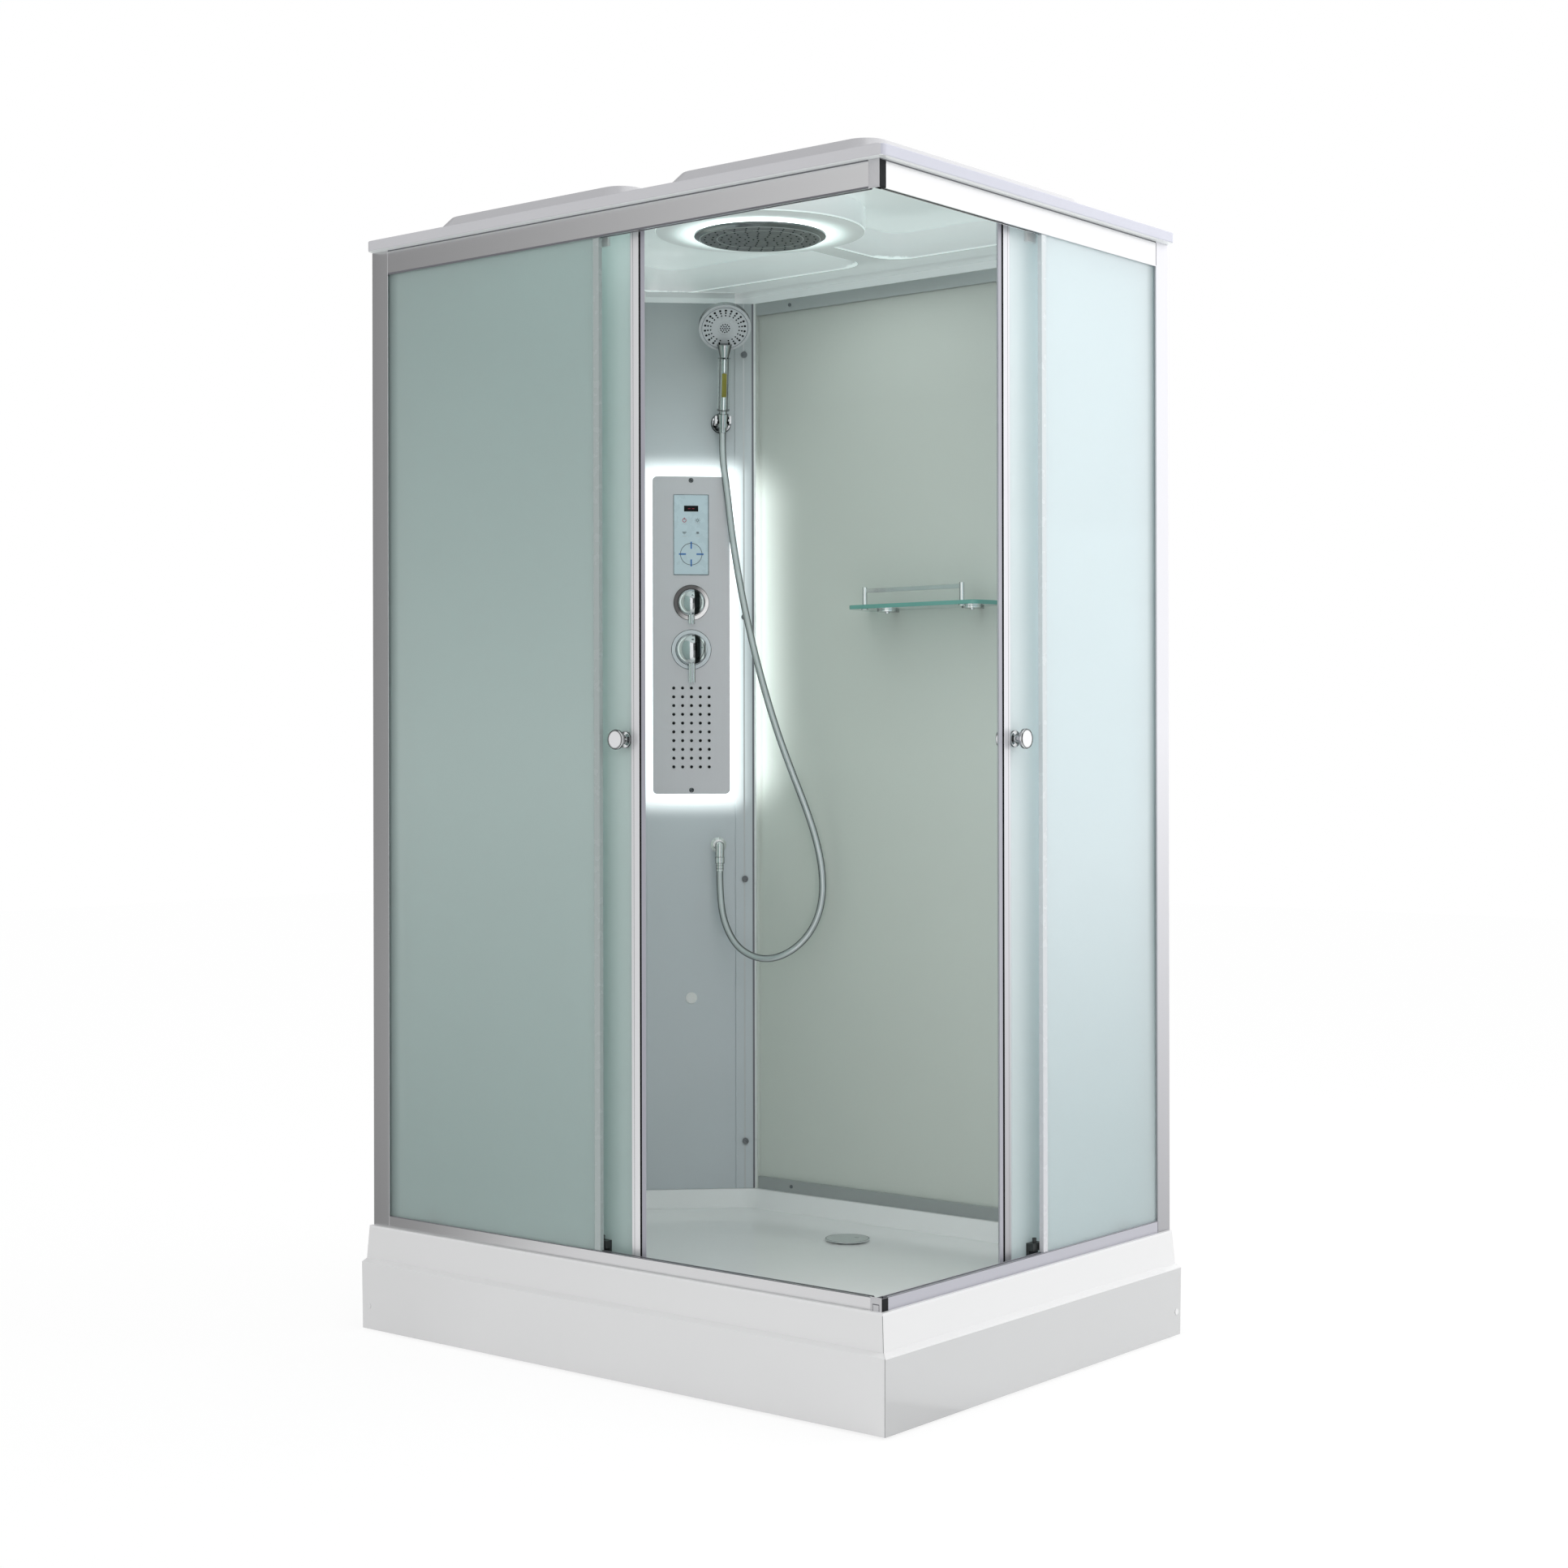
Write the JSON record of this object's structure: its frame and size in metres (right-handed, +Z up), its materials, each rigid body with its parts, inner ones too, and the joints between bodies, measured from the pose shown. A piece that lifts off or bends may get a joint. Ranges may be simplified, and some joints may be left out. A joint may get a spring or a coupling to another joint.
{
  "type": "shower cabin",
  "caption": "Closed shower cabin with tray, two sliding corner doors, control column with handset and hose, glass shelf and domed roof with an overhead shower.",
  "frame": {"origin": "centre of the footprint, on the floor under the feet", "axes": "+X along the long front face towards the open corner, +Y from the front to the back wall, +Z up"},
  "size_m": [1.2, 0.9, 2.05],
  "materials": {
    "brushed_plate": "brushed",
    "chrome": "polished",
    "clear_glass": "gloss",
    "clear_seal": "translucent",
    "column_grey": "gloss",
    "control_foil": "satin",
    "dark_plastic": "matte",
    "frosted_glass": "frosted",
    "galvanised_steel": "matte",
    "grey_plastic": "satin",
    "hose_silver": "satin",
    "light_diffuser": "glowing",
    "nozzle_grey": "matte",
    "satin_aluminium": "satin",
    "spray_grey": "satin",
    "wall_glass": "gloss",
    "wheel_plastic": "matte",
    "white_acrylic": "gloss"
  },
  "bodies": {
    "cabin": {"tray": "white_acrylic", "tray_frame": "galvanised_steel", "tray_feet": "galvanised_steel", "drain_trap": "dark_plastic", "apron_front": "white_acrylic", "apron_side": "white_acrylic", "sill_front": "satin_aluminium", "sill_side": "satin_aluminium", "header_front": "satin_aluminium", "header_side": "satin_aluminium", "corner_connectors": "grey_plastic", "corner_posts": "satin_aluminium", "column_posts": "satin_aluminium", "fixed_glass_front": "frosted_glass", "fixed_glass_side": "frosted_glass", "fixed_glass_seals": "clear_seal", "column_panel": "column_grey", "light_diffusers": "light_diffuser", "control_plate": "brushed_plate", "touch_panel": "control_foil", "back_jets": "nozzle_grey", "water_valves": "chrome", "control_box": "white_acrylic", "hose_outlet": "chrome", "shower_hose": "hose_silver", "handset_bracket": "chrome", "shelf_glass": "clear_glass", "shelf_fittings": "chrome", "roof_shell": "white_acrylic", "rain_shower": "chrome", "rain_shower_face": "spray_grey", "screws_and_caps": "dark_plastic", "wall_rails": "satin_aluminium", "wall_glass": "wall_glass"},
    "front_door": {"front_door_glass": "frosted_glass", "front_door_stile": "satin_aluminium", "front_door_knob": "chrome", "front_door_carriers": "dark_plastic"},
    "front_top_roller_lead": {"front_top_roller_lead": "wheel_plastic"},
    "front_bottom_roller_lead": {"front_bottom_roller_lead": "wheel_plastic"},
    "front_release_button_lead": {"front_release_button_lead": "dark_plastic"},
    "front_top_roller_tail": {"front_top_roller_tail": "wheel_plastic"},
    "front_bottom_roller_tail": {"front_bottom_roller_tail": "wheel_plastic"},
    "front_release_button_tail": {"front_release_button_tail": "dark_plastic"},
    "side_door": {"side_door_glass": "frosted_glass", "side_door_stile": "satin_aluminium", "side_door_knob": "chrome", "side_door_carriers": "dark_plastic"},
    "side_top_roller_lead": {"side_top_roller_lead": "wheel_plastic"},
    "side_bottom_roller_lead": {"side_bottom_roller_lead": "wheel_plastic"},
    "side_release_button_lead": {"side_release_button_lead": "dark_plastic"},
    "side_top_roller_tail": {"side_top_roller_tail": "wheel_plastic"},
    "side_bottom_roller_tail": {"side_bottom_roller_tail": "wheel_plastic"},
    "side_release_button_tail": {"side_release_button_tail": "dark_plastic"},
    "drain_cover": {"drain_cover": "chrome"},
    "mixer_collar": {"mixer_collar": "chrome"},
    "mixer_handle": {"mixer_handle": "chrome"},
    "diverter_handle": {"diverter_handle": "chrome"},
    "handset": {"handset_holder": "chrome", "handset": "chrome"}
  },
  "joints": [
    {"name": "front_door_slide", "type": "slide", "parent": "cabin", "child": "front_door", "axis": [1, 0, 0], "range_m": [0, 0.48945]},
    {"name": "front_top_roller_lead_spin", "type": "hinge", "parent": "front_door", "child": "front_top_roller_lead", "pos_m": [-0.0387, -0.40775, 1.95785], "axis": [0, 1, 0], "continuous": true},
    {"name": "front_bottom_roller_lead_spin", "type": "hinge", "parent": "front_door", "child": "front_bottom_roller_lead", "pos_m": [-0.0387, -0.40775, 0.17685], "axis": [0, 1, 0], "continuous": true},
    {"name": "front_release_button_lead_press", "type": "slide", "parent": "front_door", "child": "front_release_button_lead", "axis": [0, 0, -1], "range_m": [0, 0.004], "stiffness_N_per_m": 500},
    {"name": "front_top_roller_tail_spin", "type": "hinge", "parent": "front_door", "child": "front_top_roller_tail", "pos_m": [-0.4447, -0.40775, 1.95785], "axis": [0, 1, 0], "continuous": true},
    {"name": "front_bottom_roller_tail_spin", "type": "hinge", "parent": "front_door", "child": "front_bottom_roller_tail", "pos_m": [-0.4447, -0.40775, 0.17685], "axis": [0, 1, 0], "continuous": true},
    {"name": "front_release_button_tail_press", "type": "slide", "parent": "front_door", "child": "front_release_button_tail", "axis": [0, 0, -1], "range_m": [0, 0.004], "stiffness_N_per_m": 500},
    {"name": "side_door_slide", "type": "slide", "parent": "cabin", "child": "side_door", "axis": [0, -1, 0], "range_m": [0, 0.33725]},
    {"name": "side_top_roller_lead_spin", "type": "hinge", "parent": "side_door", "child": "side_top_roller_lead", "pos_m": [0.55775, 0.0365, 1.95785], "axis": [1, 0, 0], "continuous": true},
    {"name": "side_bottom_roller_lead_spin", "type": "hinge", "parent": "side_door", "child": "side_bottom_roller_lead", "pos_m": [0.55775, 0.0365, 0.17685], "axis": [1, 0, 0], "continuous": true},
    {"name": "side_release_button_lead_press", "type": "slide", "parent": "side_door", "child": "side_release_button_lead", "axis": [0, 0, -1], "range_m": [0, 0.004], "stiffness_N_per_m": 500},
    {"name": "side_top_roller_tail_spin", "type": "hinge", "parent": "side_door", "child": "side_top_roller_tail", "pos_m": [0.55775, 0.2995, 1.95785], "axis": [1, 0, 0], "continuous": true},
    {"name": "side_bottom_roller_tail_spin", "type": "hinge", "parent": "side_door", "child": "side_bottom_roller_tail", "pos_m": [0.55775, 0.2995, 0.17685], "axis": [1, 0, 0], "continuous": true},
    {"name": "side_release_button_tail_press", "type": "slide", "parent": "side_door", "child": "side_release_button_tail", "axis": [0, 0, -1], "range_m": [0, 0.004], "stiffness_N_per_m": 500},
    {"name": "mixer_turn", "type": "hinge", "parent": "cabin", "child": "mixer_collar", "pos_m": [-0.4833, 0.3363, 1.27], "axis": [0.7071, -0.7071, 0], "range_deg": [-50, 50]},
    {"name": "mixer_lift", "type": "hinge", "parent": "mixer_collar", "child": "mixer_handle", "pos_m": [-0.45901, 0.31201, 1.27], "axis": [-0.7071, -0.7071, 0], "range_deg": [0, 18]},
    {"name": "diverter_turn", "type": "hinge", "parent": "cabin", "child": "diverter_handle", "pos_m": [-0.4833, 0.3363, 1.366], "axis": [0.7071, -0.7071, 0], "range_deg": [-90, 90]},
    {"name": "handset_tilt", "type": "hinge", "parent": "cabin", "child": "handset", "pos_m": [-0.4034, 0.34549, 1.735], "axis": [0.7071, 0.7071, 0], "range_deg": [-12, 21], "deforming": ["shower_hose"]},
    {"name": "drain_cover_lift", "type": "slide", "parent": "cabin", "child": "drain_cover", "axis": [0, 0, 1], "range_m": [0, 0.04]}
  ],
  "couplings": [
    {"joint": "front_top_roller_lead_spin", "follows": "front_door_slide", "rad_per_m": 105.26},
    {"joint": "front_bottom_roller_lead_spin", "follows": "front_door_slide", "rad_per_m": 105.26},
    {"joint": "front_top_roller_tail_spin", "follows": "front_door_slide", "rad_per_m": 105.26},
    {"joint": "front_bottom_roller_tail_spin", "follows": "front_door_slide", "rad_per_m": 105.26},
    {"joint": "side_top_roller_lead_spin", "follows": "side_door_slide", "rad_per_m": 105.26},
    {"joint": "side_bottom_roller_lead_spin", "follows": "side_door_slide", "rad_per_m": 105.26},
    {"joint": "side_top_roller_tail_spin", "follows": "side_door_slide", "rad_per_m": 105.26},
    {"joint": "side_bottom_roller_tail_spin", "follows": "side_door_slide", "rad_per_m": 105.26}
  ]
}
